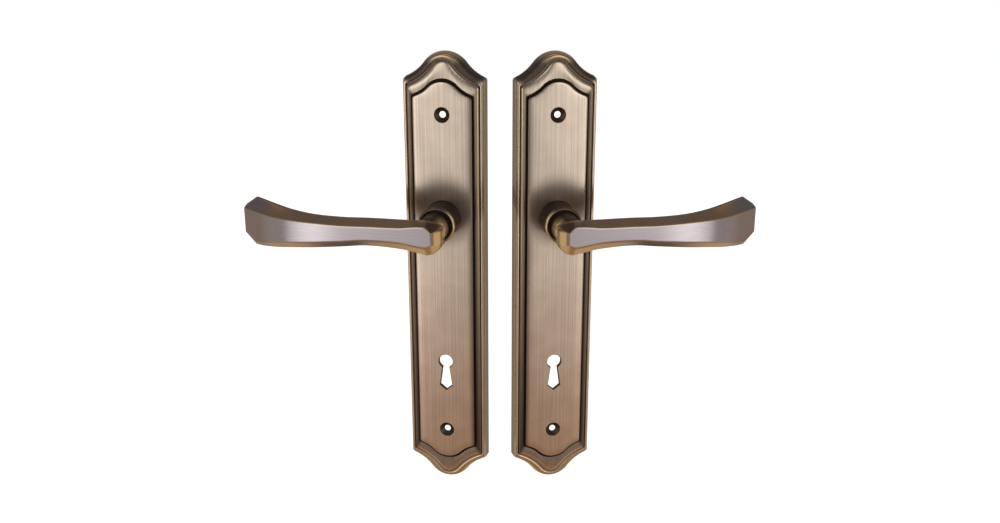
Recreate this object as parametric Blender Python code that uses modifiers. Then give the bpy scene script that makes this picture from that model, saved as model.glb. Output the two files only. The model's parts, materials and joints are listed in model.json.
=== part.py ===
"""A pair of sprung lever handles on long moulded backplates, one for each face of a door.

Every unit is drawn in its own frame, with the spindle axis through the origin:
X runs across the plate, Y is up and Z points out of the door face, which is at Z = 0.
The left unit's lever points to -X and the right unit is its mirror image.
All sizes are in millimetres, and the helpers write them in metres.
"""

import math

import bmesh
import bpy
from mathutils import Euler, Matrix

MM = 0.001
COLLECTION = "lever_handle_lockset"
CUTTERS = "cutters"

# How the pair stands: each plate is turned away from the other one about the vertical.
UNIT_YAW = 11.5
UNIT_OFFSET = 28.9
LEFT, RIGHT = -1, 1

# Backplate, measured from the spindle axis, which is above the middle of the plate.
PLATE_MIDDLE = -35.6
PANEL_OUT = 10.2
PANEL_BACK = 8.0
# Moulding levels: half width, shoulder height, peak height, distance out of the door face.
MOULDING = (
    (22.75, 111.0, 125.0, 0.0),
    (21.95, 110.2, 124.1, 4.9),
    (20.75, 109.0, 122.7, 7.5),
    (19.45, 107.4, 120.7, 7.7),
    (16.90, 103.0, 110.3, 8.6),
    (16.30, 102.3, 109.5, PANEL_OUT),
)
POCKET = (
    (20.55, 108.8, 122.0, -1.0),
    (20.55, 108.8, 122.0, 0.0),
    (18.90, 106.6, 119.4, 5.0),
    (16.40, 102.2, 109.3, 6.2),
    (15.00, 101.0, 107.6, PANEL_BACK),
)
# Slopes of the ogee ends, at the shoulder and where crown and flank meet, outside and inside.
OUTER_SLOPES = (20.0, 53.0)
INNER_SLOPES = (12.0, 41.5)
OGEE_STEPS = 3

# Fixing holes and keyhole, up from the middle of the plate.
FIXING_HOLES = (92.3, -92.3)
FIXING_RADIUS = 1.8
COUNTERSINK_RADIUS = 4.1
COUNTERSINK_DEPTH = 1.8
KEYHOLE_UP = -49.4
KEYHOLE_RADIUS = 4.0
KEYHOLE_NECK = 1.85
KEYHOLE_FLARE = 3.5
KEYHOLE_FLARE_DOWN = 14.7
KEYHOLE_TIP_DOWN = 17.5

# Boss, collar and bush around the lever's neck.
BOSS_RADIUS = 9.8
BOSS_OUT = 22.2
BOSS_BORE = 8.4
COLLAR_RADIUS = 10.0
COLLAR_OUT = 26.0
BUSH_RADIUS = 8.15
BUSH_BORE = 7.15
BUSH_OUT = 25.8
BUSH_FLANGE = 11.0
GAP = 0.3

# Lever neck and tail, turned about the spindle axis.
TAIL_RADIUS = 6.9
TAIL_FLAT = 6.4
GROOVE_RADIUS = 6.1
SHOULDER_OUT = 26.4
NECK_TOP = 48.0
SPINDLE_SIDE = 8.0
SOCKET_SIDE = 8.3
SOCKET_OUT = 37.5
SPINDLE_ENDS = (-68.5, 36.5)
GRUB_OUT = 31.0
GRUB_RADIUS = 2.2

# Grip sections: distance towards the tip, then for the front facet how far out it is and its
# upper and lower edges, then the upper ridge (out, up), the lower ridge (out, up) and the back.
GRIP = (
    (-8.9, 42.6, 4.8, -4.4, 41.2, 5.6, 42.0, -6.0, 38.2),
    (-7.4, 45.6, 5.6, -4.6, 42.6, 6.5, 44.0, -7.6, 37.6),
    (-5.2, 47.8, 5.6, -4.6, 43.2, 6.9, 45.4, -8.8, 37.2),
    (-3.1, 50.0, 2.8, -4.3, 43.3, 6.8, 46.5, -9.6, 37.0),
    (-0.4, 50.0, 6.0, -5.5, 43.0, 7.2, 47.0, -10.1, 37.0),
    (5.8, 50.0, 5.8, -4.8, 43.0, 7.3, 47.0, -8.9, 38.0),
    (14.0, 50.0, 4.8, -3.5, 43.0, 7.2, 47.0, -7.5, 38.5),
    (32.0, 50.0, 4.5, -3.3, 43.0, 7.2, 47.0, -6.7, 38.5),
    (46.0, 49.9, 4.2, -4.7, 43.0, 6.9, 47.0, -8.1, 38.5),
    (62.0, 49.4, 4.7, -6.2, 42.2, 7.3, 46.2, -9.8, 38.0),
    (75.0, 48.0, 5.2, -7.5, 40.6, 8.8, 44.4, -11.1, 36.6),
    (85.0, 45.9, 5.7, -8.9, 39.0, 11.0, 42.6, -12.0, 34.8),
    (93.0, 43.7, 6.6, -10.3, 37.7, 13.1, 41.1, -12.1, 33.2),
    (96.4, 42.7, 7.3, -9.8, 37.2, 13.9, 40.5, -11.6, 32.7),
    (102.0, 41.2, 8.7, -4.8, 36.9, 10.0, 39.6, -5.6, 32.2),
)

# Spring cup and what is in it.
CUP_RADIUS = 15.7
CUP_WALL = 1.1
CUP_RANGE = (2.2, 6.4)
CUP_FLOOR = 1.0
DISC_RADIUS = 10.8
DISC_RANGE = (2.2, 3.4)
TOOTH_RADIUS = 13.4
TOOTH_HALF_ANGLE = 7.0
LEVER_TRAVEL = 45.0
STOP_WIDTH = 1.5
STOP_CLEARANCE = 1.3
SPRING_OUT = 4.45
SPRING_WIRE = 0.6
SPRING_RADII = (9.0, 13.6)
SPRING_TURNS = 1.75
COVER_RANGE = (1.0, 1.9)
COVER_HOLE = 9.8
POST_UP = 19.5
POST_RADIUS = 2.8
POST_BORE = 1.4
EAR_RADIUS = 3.6
SCREW_RADIUS = 1.15
SCREW_HEAD = 2.4

BRONZE = (0.33, 0.22, 0.14)
STEEL = (0.55, 0.56, 0.58)
NYLON = (0.06, 0.055, 0.05)


def clear_scene():
    for thing in list(bpy.data.objects):
        bpy.data.objects.remove(thing, do_unlink=True)


def collection_named(name):
    group = bpy.data.collections.new(name)
    bpy.context.scene.collection.children.link(group)
    return group


def finish_of(name, colour, roughness, metallic):
    """A Principled material of the piece's own."""
    finish = bpy.data.materials.new(name + "_finish")
    finish.use_nodes = True
    shader = finish.node_tree.nodes["Principled BSDF"]
    shader.inputs["Base Color"].default_value = (*colour, 1.0)
    shader.inputs["Roughness"].default_value = roughness
    shader.inputs["Metallic"].default_value = metallic
    return finish


def placed(name, data, unit, look=None):
    """A new object in the unit's frame: a piece when it has a look, and otherwise a cutter."""
    thing = bpy.data.objects.new(name, data)
    thing.parent = unit
    if look is None:
        thing.hide_render = True
        thing.display_type = "WIRE"
        bpy.data.collections[CUTTERS].objects.link(thing)
        return thing
    data.materials.append(finish_of(name, *look))
    bpy.data.collections[COLLECTION].objects.link(thing)
    return thing


def mesh_of(name, form):
    """A mesh in metres from a bmesh in millimetres."""
    bmesh.ops.recalc_face_normals(form, faces=form.faces[:])
    bmesh.ops.scale(form, vec=(MM, MM, MM), verts=form.verts[:])
    mesh = bpy.data.meshes.new(name)
    form.to_mesh(mesh)
    form.free()
    mesh.shade_smooth()
    mesh.set_sharp_from_angle(angle=math.radians(30.0))
    return mesh


def loft(name, rings, unit, look=None):
    """A closed solid through rings of points that all have the same count."""
    form = bmesh.new()
    rows = [[form.verts.new(point) for point in ring] for ring in rings]
    count = len(rows[0])
    for low, high in zip(rows, rows[1:]):
        for index in range(count):
            after = (index + 1) % count
            form.faces.new((low[index], low[after], high[after], high[index]))
    form.faces.new(rows[0][::-1])
    form.faces.new(rows[-1])
    return placed(name, mesh_of(name, form), unit, look)


def turned(name, profile, unit, look=None, steps=24):
    """A solid turned about the unit's Z, from (radius, out) points that run down the outer side."""
    form = bmesh.new()
    points = [form.verts.new((radius * MM, 0.0, out * MM)) for radius, out in profile]
    for start, end in zip(points, points[1:]):
        form.edges.new((start, end))
    if profile[0][0] > 0.0:
        form.edges.new((points[-1], points[0]))
    mesh = bpy.data.meshes.new(name)
    form.to_mesh(mesh)
    form.free()
    thing = placed(name, mesh, unit, look)
    screw = thing.modifiers.new("turn", "SCREW")
    screw.axis = "Z"
    screw.steps = steps
    screw.render_steps = steps
    screw.use_merge_vertices = True
    screw.merge_threshold = 0.00001
    return thing


def box(name, low, high, unit, look=None, turn=0.0):
    """A block between two corners, turned by an angle in degrees about the unit's Z."""
    form = bmesh.new()
    bmesh.ops.create_cube(form, size=1.0)
    size = [b - a for a, b in zip(low, high)]
    middle = [(a + b) / 2.0 for a, b in zip(low, high)]
    bmesh.ops.scale(form, vec=size, verts=form.verts[:])
    bmesh.ops.translate(form, vec=middle, verts=form.verts[:])
    spin = Matrix.Rotation(math.radians(turn), 3, "Z")
    bmesh.ops.rotate(form, cent=(0.0, 0.0, 0.0), matrix=spin, verts=form.verts[:])
    return placed(name, mesh_of(name, form), unit, look)


def rod(name, radius, ends, unit, look=None, steps=16, tilt=None, at=(0.0, 0.0)):
    """A cylinder along Z between two ends, or along -Y when tilted, about a point in X and Y."""
    form = bmesh.new()
    length = ends[1] - ends[0]
    bmesh.ops.create_cone(
        form, cap_ends=True, segments=steps, radius1=radius, radius2=radius, depth=length
    )
    bmesh.ops.translate(form, vec=(0.0, 0.0, (ends[0] + ends[1]) / 2.0), verts=form.verts[:])
    if tilt is not None:
        spin = Matrix.Rotation(math.radians(90.0), 3, "X")
        bmesh.ops.rotate(form, cent=(0.0, 0.0, 0.0), matrix=spin, verts=form.verts[:])
        bmesh.ops.translate(form, vec=(0.0, 0.0, tilt), verts=form.verts[:])
    bmesh.ops.translate(form, vec=(at[0], at[1], 0.0), verts=form.verts[:])
    return placed(name, mesh_of(name, form), unit, look)


def flat_piece(name, outlines, ends, unit, look):
    """A flat piece cut to its outlines, the first one outside and the others holes in it."""
    curve = bpy.data.curves.new(name, "CURVE")
    curve.dimensions = "2D"
    curve.fill_mode = "BOTH"
    curve.extrude = (ends[1] - ends[0]) / 2.0 * MM
    for outline in outlines:
        spline = curve.splines.new("POLY")
        spline.points.add(len(outline) - 1)
        for point, (across, up) in zip(spline.points, outline):
            point.co = (across * MM, up * MM, 0.0, 1.0)
        spline.use_cyclic_u = True
    thing = placed(name, curve, unit, look)
    thing.location.z = (ends[0] + ends[1]) / 2.0 * MM
    return thing


def combine(thing, other, operation):
    """Adds or cuts another solid with a Boolean modifier."""
    join = thing.modifiers.new(other.name, "BOOLEAN")
    join.operation = operation
    join.solver = "EXACT"
    join.object = other


def polar(radius, degrees, middle=(0.0, 0.0)):
    turn = math.radians(degrees)
    return (middle[0] + radius * math.cos(turn), middle[1] + radius * math.sin(turn))


def circle(radius, steps, middle=(0.0, 0.0)):
    return [polar(radius, 360.0 * step / steps, middle) for step in range(steps)]


def handed(degrees, side):
    """An angle that is given for the left unit, mirrored for the right one."""
    return degrees if side == LEFT else 180.0 - degrees


def ogee_half(half_width, shoulder, peak, slopes):
    """Points from the right shoulder to just before the peak: a hollow flank, then a round crown."""
    corner, meeting = (math.radians(slope) for slope in slopes)
    rise = (peak - shoulder) / half_width
    flank_rise = math.tan((meeting + corner) / 2.0)
    share = (rise - flank_rise) / (math.tan(meeting / 2.0) - flank_rise)
    crown_radius = share * half_width / math.sin(meeting)
    flank_radius = (1.0 - share) * half_width / (math.sin(meeting) - math.sin(corner))
    points = []
    for step in range(OGEE_STEPS):
        slope = corner + (meeting - corner) * step / OGEE_STEPS
        across = half_width - flank_radius * (math.sin(slope) - math.sin(corner))
        points.append((across, shoulder + flank_radius * (math.cos(corner) - math.cos(slope))))
    for step in range(OGEE_STEPS):
        slope = meeting * (1.0 - step / OGEE_STEPS)
        across = crown_radius * math.sin(slope)
        points.append((across, peak - crown_radius * (1.0 - math.cos(slope))))
    return points


def plate_ring(level, slopes):
    """One level of the plate's outline, anticlockwise as seen from the front."""
    half_width, shoulder, peak, out = level
    half = ogee_half(half_width, shoulder, peak, slopes)
    top = half + [(0.0, peak)] + [(-across, up) for across, up in reversed(half)]
    outline = top + [(-across, -up) for across, up in top]
    return [(across, up + PLATE_MIDDLE, out) for across, up in outline]


def moulding_rings(levels):
    """The outer levels have the steep ogee, and the two round the panel have the shallow one."""
    outer = [plate_ring(level, OUTER_SLOPES) for level in levels[:-2]]
    inner = [plate_ring(level, INNER_SLOPES) for level in levels[-2:]]
    return outer + inner


def keyhole_outline():
    """A round top over a slot that widens downwards and ends in a point."""
    neck_angle = math.degrees(math.asin(KEYHOLE_NECK / KEYHOLE_RADIUS))
    points = []
    for step in range(13):
        angle = -90.0 + neck_angle + (360.0 - 2.0 * neck_angle) * step / 12
        points.append(polar(KEYHOLE_RADIUS, angle))
    points.append((-KEYHOLE_FLARE, -KEYHOLE_FLARE_DOWN))
    points.append((0.0, -KEYHOLE_TIP_DOWN))
    points.append((KEYHOLE_FLARE, -KEYHOLE_FLARE_DOWN))
    middle = PLATE_MIDDLE + KEYHOLE_UP
    return [(across, up + middle) for across, up in points]


def make_backplate(hand, unit):
    """The cast plate: moulded shell, boss, two screw posts, fixing holes and keyhole."""
    plate = loft(hand + "_backplate", moulding_rings(MOULDING), unit, (BRONZE, 0.35, 1.0))
    combine(plate, loft(hand + "_pocket", moulding_rings(POCKET), unit), "DIFFERENCE")
    boss = (
        (0.0, BOSS_OUT),
        (BOSS_RADIUS - 0.5, BOSS_OUT),
        (BOSS_RADIUS, BOSS_OUT - 0.6),
        (BOSS_RADIUS, PANEL_OUT + 0.5),
        (BOSS_RADIUS + 0.5, PANEL_OUT - 0.4),
        (BOSS_RADIUS + 0.5, PANEL_BACK + 0.8),
        (0.0, PANEL_BACK + 0.8),
    )
    combine(plate, turned(hand + "_boss", boss, unit, steps=32), "UNION")
    for up in (POST_UP, -POST_UP):
        post = rod(hand + "_post", POST_RADIUS, (2.2, 8.2), unit, at=(0.0, up))
        combine(plate, post, "UNION")
    for up in (POST_UP, -POST_UP):
        bore = rod(hand + "_post_bore", POST_BORE, (1.0, 6.9), unit, steps=12, at=(0.0, up))
        combine(plate, bore, "DIFFERENCE")
    bore = rod(hand + "_boss_bore", BOSS_BORE, (5.0, 30.0), unit, steps=32)
    combine(plate, bore, "DIFFERENCE")
    for up in FIXING_HOLES:
        cutter = (
            (0.0, PANEL_OUT + 2.0),
            (COUNTERSINK_RADIUS + 0.1, PANEL_OUT + 2.0),
            (COUNTERSINK_RADIUS, PANEL_OUT),
            (FIXING_RADIUS, PANEL_OUT - COUNTERSINK_DEPTH),
            (FIXING_RADIUS, PANEL_BACK - 2.0),
            (0.0, PANEL_BACK - 2.0),
        )
        hole = turned(hand + "_fixing_hole", cutter, unit)
        hole.location.y = (PLATE_MIDDLE + up) * MM
        combine(plate, hole, "DIFFERENCE")
    outline = keyhole_outline()
    rings = [[(across, up, out) for across, up in outline] for out in (4.0, 14.0)]
    combine(plate, loft(hand + "_keyhole", rings, unit), "DIFFERENCE")


def make_collar_and_bush(hand, unit):
    collar = (
        (COLLAR_RADIUS - 0.5, COLLAR_OUT),
        (COLLAR_RADIUS, COLLAR_OUT - 0.5),
        (COLLAR_RADIUS, BOSS_OUT + GAP + 0.4),
        (COLLAR_RADIUS - 0.4, BOSS_OUT + GAP),
        (BUSH_RADIUS + GAP, BOSS_OUT + GAP),
        (BUSH_RADIUS + GAP, COLLAR_OUT),
    )
    turned(hand + "_boss_collar", collar, unit, (BRONZE, 0.25, 1.0), steps=32)
    bush = (
        (BUSH_RADIUS, BUSH_OUT),
        (BUSH_RADIUS, PANEL_BACK - GAP),
        (BUSH_FLANGE, PANEL_BACK - GAP),
        (BUSH_FLANGE, CUP_RANGE[1] + GAP),
        (BUSH_BORE, CUP_RANGE[1] + GAP),
        (BUSH_BORE, BUSH_OUT),
    )
    turned(hand + "_neck_bush", bush, unit, (NYLON, 0.5, 0.0), steps=32)


def grip_ring(side, section):
    """One eight-sided section of the grip, across the lever."""
    along, front, front_up, front_down, ridge, ridge_up, keel, keel_down, back = section
    outline = (
        (front_down, front),
        (front_up, front),
        (ridge_up, ridge),
        (ridge_up - 0.3, ridge - 2.5),
        (ridge_up - 3.0, back),
        (keel_down + 3.0, back),
        (keel_down, keel - 5.0),
        (keel_down, keel),
    )
    return [(side * along, up, out) for up, out in outline]


def make_lever(hand, side, unit):
    """Grip, elbow, neck and tail in one casting, with a square socket for the spindle."""
    rings = [grip_ring(side, section) for section in GRIP]
    lever = loft(hand + "_lever", rings, unit, (BRONZE, 0.3, 1.0))
    neck = (
        (0.0, NECK_TOP),
        (5.2, 46.4),
        (7.3, 43.2),
        (8.2, 39.8),
        (8.4, 37.0),
        (8.3, 35.6),
        (7.7, 33.4),
        (7.6, 29.0),
        (8.0, 27.2),
        (8.0, SHOULDER_OUT),
        (TAIL_RADIUS, SHOULDER_OUT),
        (TAIL_RADIUS, 1.5),
        (GROOVE_RADIUS, 1.5),
        (GROOVE_RADIUS, 0.35),
        (TAIL_RADIUS - 0.2, 0.35),
        (TAIL_RADIUS - 0.2, 0.1),
        (0.0, 0.1),
    )
    combine(lever, turned(hand + "_neck", neck, unit, steps=32), "UNION")
    half = SOCKET_SIDE / 2.0
    socket = box(hand + "_socket", (-half, -half, -1.0), (half, half, SOCKET_OUT), unit)
    combine(lever, socket, "DIFFERENCE")
    for edge in (-10.0, TAIL_FLAT):
        low, high = (edge, -10.0, -1.0), (edge + 10.0 - TAIL_FLAT, 10.0, 3.7)
        combine(lever, box(hand + "_tail_flat", low, high, unit), "DIFFERENCE")
    grub_hole = rod(hand + "_grub_hole", GRUB_RADIUS + GAP, (2.0, 12.0), unit, tilt=GRUB_OUT)
    combine(lever, grub_hole, "DIFFERENCE")


def make_grub_screw(hand, unit):
    """A hexagon-socket set screw under the neck, which nips the spindle."""
    ends = (SPINDLE_SIDE / 2.0 + GAP, 7.4)
    look = (STEEL, 0.35, 1.0)
    screw = rod(hand + "_grub_screw", GRUB_RADIUS, ends, unit, look, tilt=GRUB_OUT)
    hexagon = rod(hand + "_grub_socket", 1.25, (6.0, 9.0), unit, steps=6, tilt=GRUB_OUT)
    combine(screw, hexagon, "DIFFERENCE")


def make_spring_cup(hand, side, unit):
    """A cup behind the plate, with two stops for the drive disc's tooth and a spring window."""
    low, high = CUP_RANGE
    inner = CUP_RADIUS - CUP_WALL
    profile = (
        (CUP_RADIUS, high),
        (CUP_RADIUS, low),
        (inner, low),
        (inner, high - CUP_FLOOR),
        (TAIL_RADIUS + 0.4, high - CUP_FLOOR),
        (TAIL_RADIUS + 0.4, high),
    )
    cup = turned(hand + "_spring_cup", profile, unit, (STEEL, 0.4, 1.0), steps=32)
    stop_half_angle = math.degrees(STOP_WIDTH / 2.0 / TOOTH_RADIUS)
    reach = TOOTH_HALF_ANGLE + STOP_CLEARANCE + stop_half_angle
    half = STOP_WIDTH / 2.0
    for angle in (270.0 - reach, 270.0 + LEVER_TRAVEL + reach):
        corners = (12.2, -half, low), (CUP_RADIUS - 0.4, half, low + 1.3)
        stop = box(hand + "_stop", *corners, unit, turn=handed(angle, side))
        combine(cup, stop, "UNION")
    corners = (inner - 1.0, -1.0, SPRING_OUT - 0.9), (CUP_RADIUS + 1.0, 1.0, SPRING_OUT + 0.9)
    window = box(hand + "_spring_window", *corners, unit, turn=handed(90.0, side))
    combine(cup, window, "DIFFERENCE")


def make_drive_disc(hand, side, unit):
    """A disc that the tail's flats turn, with a stop tooth and a hole for the spring's leg."""
    tooth = 270.0
    outline = []
    for step in range(25):
        span = 360.0 - 2.0 * TOOTH_HALF_ANGLE
        outline.append(polar(DISC_RADIUS, tooth + TOOTH_HALF_ANGLE + span * step / 24))
    outline.append(polar(TOOTH_RADIUS, tooth - TOOTH_HALF_ANGLE))
    outline.append(polar(TOOTH_RADIUS, tooth + TOOTH_HALF_ANGLE))
    limit = TAIL_FLAT + 0.25
    bore = [(max(-limit, min(limit, x)), y) for x, y in circle(TAIL_RADIUS + 0.25, 24)]
    leg_hole = circle(1.0, 8, polar(SPRING_RADII[0], handed(spring_start(), side)))
    look = (STEEL, 0.4, 1.0)
    flat_piece(hand + "_drive_disc", (outline, bore, leg_hole), DISC_RANGE, unit, look)


def spring_start():
    """Where the inner leg starts, so that the spiral ends at the window in the cup."""
    return 90.0 - 360.0 * SPRING_TURNS


def make_return_spring(hand, side, unit):
    """A flat spiral, with its inner leg in the drive disc and its outer leg in the cup's window."""
    steps = 30
    inner, outer = SPRING_RADII
    start = spring_start()
    points = [(*polar(inner, handed(start, side)), DISC_RANGE[0] + 0.3)]
    for step in range(steps + 1):
        part = step / steps
        angle = start + 360.0 * SPRING_TURNS * part
        radius = inner + (outer - inner) * part
        points.append((*polar(radius, handed(angle, side)), SPRING_OUT))
    points.append((*polar(CUP_RADIUS - 0.5, handed(90.0, side)), SPRING_OUT))
    curve = bpy.data.curves.new(hand + "_return_spring", "CURVE")
    curve.dimensions = "3D"
    curve.bevel_depth = SPRING_WIRE * MM
    curve.bevel_resolution = 2
    curve.use_fill_caps = True
    spline = curve.splines.new("POLY")
    spline.points.add(len(points) - 1)
    for knot, point in zip(spline.points, points):
        knot.co = (*(value * MM for value in point), 1.0)
    placed(hand + "_return_spring", curve, unit, (STEEL, 0.3, 1.0))


def make_cup_cover(hand, unit):
    """A plate that closes the cup, with an ear over each screw post."""
    outline = []
    for step in range(40):
        angle = 360.0 * step / 40
        lift = POST_UP * math.sin(math.radians(angle))
        if EAR_RADIUS + abs(lift) > CUP_RADIUS:
            outline.append(polar(EAR_RADIUS, angle, (0.0, math.copysign(POST_UP, lift))))
        else:
            outline.append(polar(CUP_RADIUS, angle))
    holes = [circle(POST_BORE, 12, (0.0, up)) for up in (POST_UP, -POST_UP)]
    outlines = (outline, circle(COVER_HOLE, 24), *holes)
    flat_piece(hand + "_cup_cover", outlines, COVER_RANGE, unit, (STEEL, 0.4, 1.0))


def make_retaining_parts(hand, unit):
    """The thrust washer and the snap ring behind the drive disc."""
    washer = ((9.2, 1.95), (9.2, 1.55), (7.2, 1.55), (7.2, 1.95))
    turned(hand + "_thrust_washer", washer, unit, (NYLON, 0.5, 0.0))
    gap_half_angle = 25.0
    angles = [
        90.0 + gap_half_angle + (360.0 - 2.0 * gap_half_angle) * step / 20
        for step in range(21)
    ]
    outline = [polar(8.8, angle) for angle in angles]
    outline += [polar(GROOVE_RADIUS + GAP, angle) for angle in reversed(angles)]
    flat_piece(hand + "_circlip", (outline,), (0.6, 1.2), unit, (STEEL, 0.3, 1.0))


def make_cup_screws(hand, unit):
    """Two slotted pan-head screws into the posts."""
    for place, up in (("upper", POST_UP), ("lower", -POST_UP)):
        profile = (
            (0.0, 6.4),
            (SCREW_RADIUS - 0.3, 6.4),
            (SCREW_RADIUS, 6.0),
            (SCREW_RADIUS, COVER_RANGE[0] - GAP),
            (SCREW_HEAD, COVER_RANGE[0] - GAP),
            (SCREW_HEAD, 0.3),
            (SCREW_HEAD - 0.5, 0.05),
            (0.0, 0.05),
        )
        name = f"{hand}_{place}_cup_screw"
        screw = turned(name, profile, unit, (STEEL, 0.35, 1.0), steps=16)
        screw.location.y = up * MM
        slot = box(name + "_slot", (-3.0, -0.3, -0.5), (3.0, 0.3, 0.4), unit)
        slot.location.y = up * MM
        combine(screw, slot, "DIFFERENCE")


def make_spindle(unit):
    """The square bar that turns the lock's follower, held in the left lever."""
    half = SPINDLE_SIDE / 2.0
    low, high = (-half, -half, SPINDLE_ENDS[0]), (half, half, SPINDLE_ENDS[1])
    spindle = box("spindle", low, high, unit, (STEEL, 0.4, 1.0))
    edges = spindle.modifiers.new("edges", "BEVEL")
    edges.width = 0.5 * MM
    edges.segments = 1


def make_unit(hand, side):
    """One handle. Its empty stands on the spindle axis, with Z out of the door face."""
    unit = bpy.data.objects.new(hand + "_spindle_axis", None)
    bpy.data.collections[COLLECTION].objects.link(unit)
    unit.location = (side * UNIT_OFFSET * MM, 0.0, 0.0)
    tilt = Euler((math.radians(90.0), 0.0, math.radians(side * UNIT_YAW)))
    unit.rotation_euler = tilt
    make_backplate(hand, unit)
    make_collar_and_bush(hand, unit)
    make_lever(hand, side, unit)
    make_grub_screw(hand, unit)
    make_spring_cup(hand, side, unit)
    make_drive_disc(hand, side, unit)
    make_return_spring(hand, side, unit)
    make_cup_cover(hand, unit)
    make_retaining_parts(hand, unit)
    make_cup_screws(hand, unit)
    return unit


def main():
    clear_scene()
    collection_named(COLLECTION)
    collection_named(CUTTERS)
    left_unit = make_unit("left", LEFT)
    make_unit("right", RIGHT)
    make_spindle(left_unit)


main()
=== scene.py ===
"""The looks of a pair of antique bronze lever handles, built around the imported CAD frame.

Each handle is drawn in its own frame, in millimetres: X across the plate, Y up, Z out of the
door, with the spindle axis through the origin. The frame comes from the joint that turns the
lever, so every piece lands on its CAD body. The left lever points to -X, the right one to +X.
"""

import json
import math

import bmesh
import bpy
from mathutils import Matrix, Vector


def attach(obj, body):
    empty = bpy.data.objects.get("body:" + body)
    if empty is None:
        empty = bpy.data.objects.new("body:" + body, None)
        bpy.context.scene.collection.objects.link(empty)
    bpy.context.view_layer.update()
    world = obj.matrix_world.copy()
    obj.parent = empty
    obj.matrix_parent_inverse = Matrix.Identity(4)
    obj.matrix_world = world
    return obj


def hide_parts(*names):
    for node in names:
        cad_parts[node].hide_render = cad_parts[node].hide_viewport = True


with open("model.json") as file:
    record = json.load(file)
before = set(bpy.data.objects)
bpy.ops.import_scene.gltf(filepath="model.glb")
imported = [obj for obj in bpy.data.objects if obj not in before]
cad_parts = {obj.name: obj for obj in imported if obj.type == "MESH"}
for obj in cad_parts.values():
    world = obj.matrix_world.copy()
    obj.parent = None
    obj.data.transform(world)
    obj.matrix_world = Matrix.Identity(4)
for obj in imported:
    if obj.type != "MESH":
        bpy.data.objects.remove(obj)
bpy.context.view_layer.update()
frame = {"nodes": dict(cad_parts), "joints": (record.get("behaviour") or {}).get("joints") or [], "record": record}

MM = 0.001
LEFT, RIGHT = -1, 1
HAND = {LEFT: "left", RIGHT: "right"}

# The plate. The heights of its outline, fixing holes and keyhole are from its own middle, which is
# below the spindle axis. The posts' heights are from the spindle axis.
PLATE_MIDDLE = -35.6
HALF_WIDTH = 22.75
CORNER_ROUND = 1.6
PANEL_OUT = 10.2
PANEL_BACK = 8.0
# How the ogee changes from the outer edge to the panel: inset, shoulder, peak, two slopes in degrees.
GUIDES = (
    (0.0, 111.0, 125.0, 20.0, 53.0),
    (0.8, 110.2, 124.1, 20.0, 53.0),
    (1.7, 109.2, 122.9, 20.0, 53.0),
    (3.0, 107.2, 120.7, 20.0, 53.0),
    (5.6, 102.6, 111.2, 15.0, 45.5),
    (6.9, 101.3, 109.3, 15.0, 45.5),
    (11.0, 98.2, 104.0, 15.0, 45.5),
)
# Tones, as shares of patina and painted shade, of wear and painted highlight, and of grey facet.
CLEAN = (0.0, 0.0, 0.0)
RECESS = (1.0, 0.0, 0.0)
SHADED = (0.5, 0.0, 0.0)
PAINTED_SHADE = (0.92, 0.0, 0.0)
WEAR_AND_HIGHLIGHT = (0.0, 1.0, 0.0)
SOFT_WEAR_AND_HIGHLIGHT = (0.0, 0.5, 0.0)
GREY = (0.0, 0.0, 1.0)
# The moulding from the back rim to the panel: inset, distance out, tone. The tones paint patina
# and shade in the grooves, and gold highlights on the bead and band.
MOULDING = (
    (0.00, 0.00, GREY),
    (0.08, 1.00, GREY),
    (0.30, 4.20, GREY),
    (0.45, 5.30, (0.1, 0.0, 0.6)),
    (0.70, 6.30, (0.2, 0.0, 0.0)),
    (1.05, 7.00, (0.2, 0.2, 0.0)),
    (1.50, 7.45, (0.1, 0.4, 0.0)),
    (2.10, 7.55, SOFT_WEAR_AND_HIGHLIGHT),
    (2.40, 7.45, SHADED),
    (2.58, 7.15, RECESS),
    (2.90, 7.15, RECESS),
    (3.10, 7.70, SHADED),
    (3.45, 8.20, WEAR_AND_HIGHLIGHT),
    (4.05, 8.50, WEAR_AND_HIGHLIGHT),
    (4.60, 8.55, (0.3, 0.3, 0.0)),
    (5.00, 8.50, SHADED),
    (5.52, 8.42, (0.7, 0.0, 0.0)),
    (5.60, 8.20, RECESS),
    (6.42, 8.20, RECESS),
    (6.52, 9.30, RECESS),
    (6.66, 9.88, SHADED),
    (6.95, 10.06, CLEAN),
    (7.60, 10.12, CLEAN),
    (8.60, 10.18, CLEAN),
    (10.40, PANEL_OUT, CLEAN),
)
# The insets at which the bead, the groove beside it and the band end.
BEAD_INSET = 2.45
GROOVE_INSET = 3.2
BAND_INSET = 5.55
# The pocket at the back: inset, distance out.
POCKET = ((2.2, 0.0), (3.85, 5.0), (6.35, 6.2), (7.75, PANEL_BACK))
BOSS_RADIUS = 9.6
BOSS_OUT = 22.2
BOSS_BORE = 8.4
POST_UP = 19.5
POST_RADIUS = 2.8
POST_BORE = 1.4
FIXING_HOLES = (92.3, -92.3)
FIXING_RADIUS = 1.8
COUNTERSINK_RADIUS = 4.1
KEYHOLE_UP = -49.4
# The keyhole's round top and its slot, whose two lower heights are below the round's middle.
KEYHOLE_RADIUS = 4.0
KEYHOLE_NECK = 1.9
KEYHOLE_FLARE = 3.5
KEYHOLE_FLARE_DOWN = 14.7
KEYHOLE_TIP_DOWN = 17.5
# Painted shade round the spindle: its middle, and the radii where it begins and where it is full, in metres.
SPINDLE_SHADE_MIDDLE = (0.0, 0.004, 0.0102)
SPINDLE_SHADE_RADII = (0.024, 0.011)

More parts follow.
